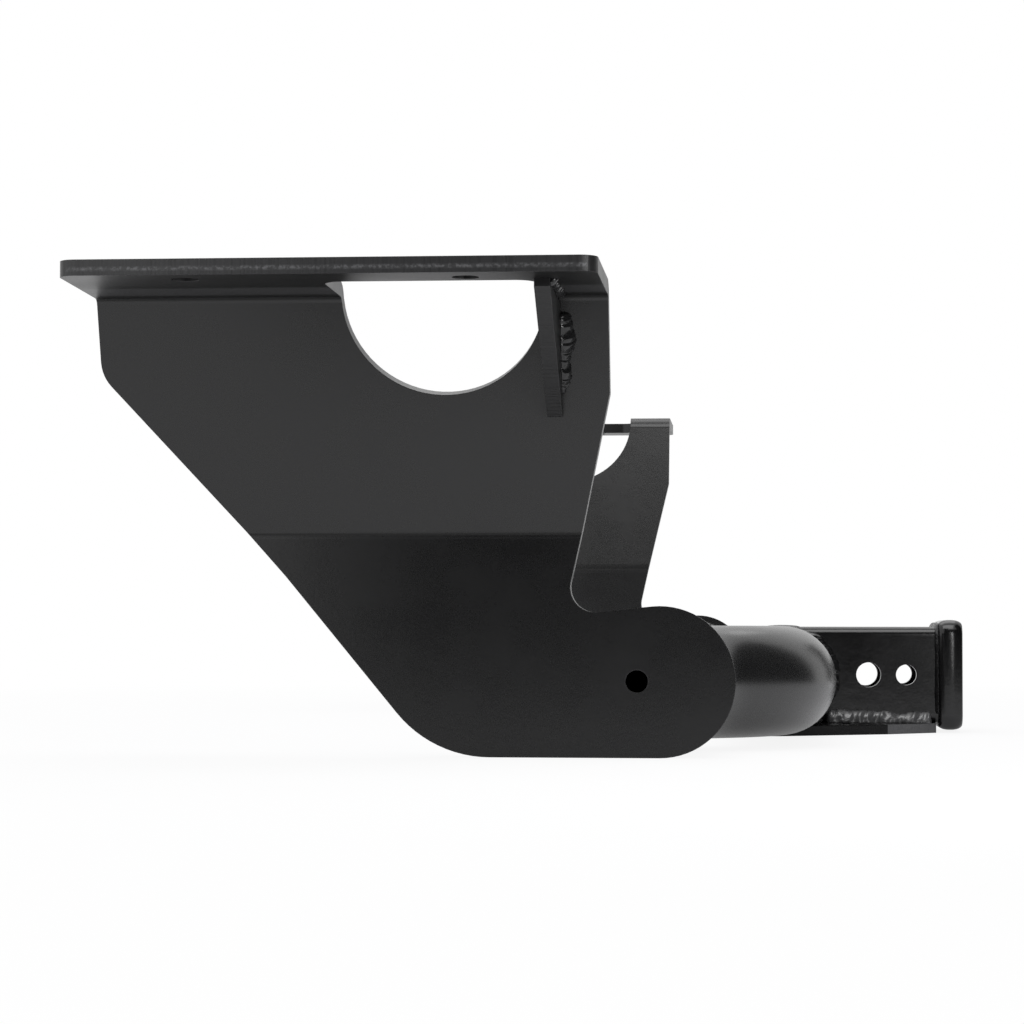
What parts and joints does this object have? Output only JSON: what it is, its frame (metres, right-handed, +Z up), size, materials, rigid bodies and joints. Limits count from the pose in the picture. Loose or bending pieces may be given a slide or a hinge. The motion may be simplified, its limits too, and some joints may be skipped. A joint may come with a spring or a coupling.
{
  "type": "receiver hitch",
  "caption": "Welded towing frame: bent round cross tube between flanged side brackets, with a square receiver, mouth collar and chain plate at the middle.",
  "frame": {"origin": "centre of the receiver on the axis of its main pin hole", "axes": "+X to the rear, out of the receiver's mouth; +Y to the vehicle's right; +Z up"},
  "size_m": [0.4777, 1.08, 0.2473],
  "materials": {
    "plate_paint": "satin black coating on plate",
    "tube_paint": "semi-gloss black coating on tube",
    "weld_paint": "gloss black coating on weld beads"
  },
  "bodies": {
    "root": {"bracket_left": "plate_paint", "bracket_right": "plate_paint", "chain_plate": "plate_paint", "collar_weld": "weld_paint", "cross_tube": "tube_paint", "gusset_flange_weld_left": "weld_paint", "gusset_flange_weld_right": "weld_paint", "gusset_left": "plate_paint", "gusset_plate_weld_left": "weld_paint", "gusset_plate_weld_right": "weld_paint", "gusset_right": "plate_paint", "plate_front_weld": "weld_paint", "plate_rear_weld_left": "weld_paint", "plate_rear_weld_right": "weld_paint", "receiver_collar": "tube_paint", "receiver_saddle_weld": "weld_paint", "receiver_tube": "tube_paint", "side_weld_left": "weld_paint", "side_weld_right": "weld_paint", "tube_weld_left": "weld_paint", "tube_weld_right": "weld_paint"}
  },
  "joints": []
}
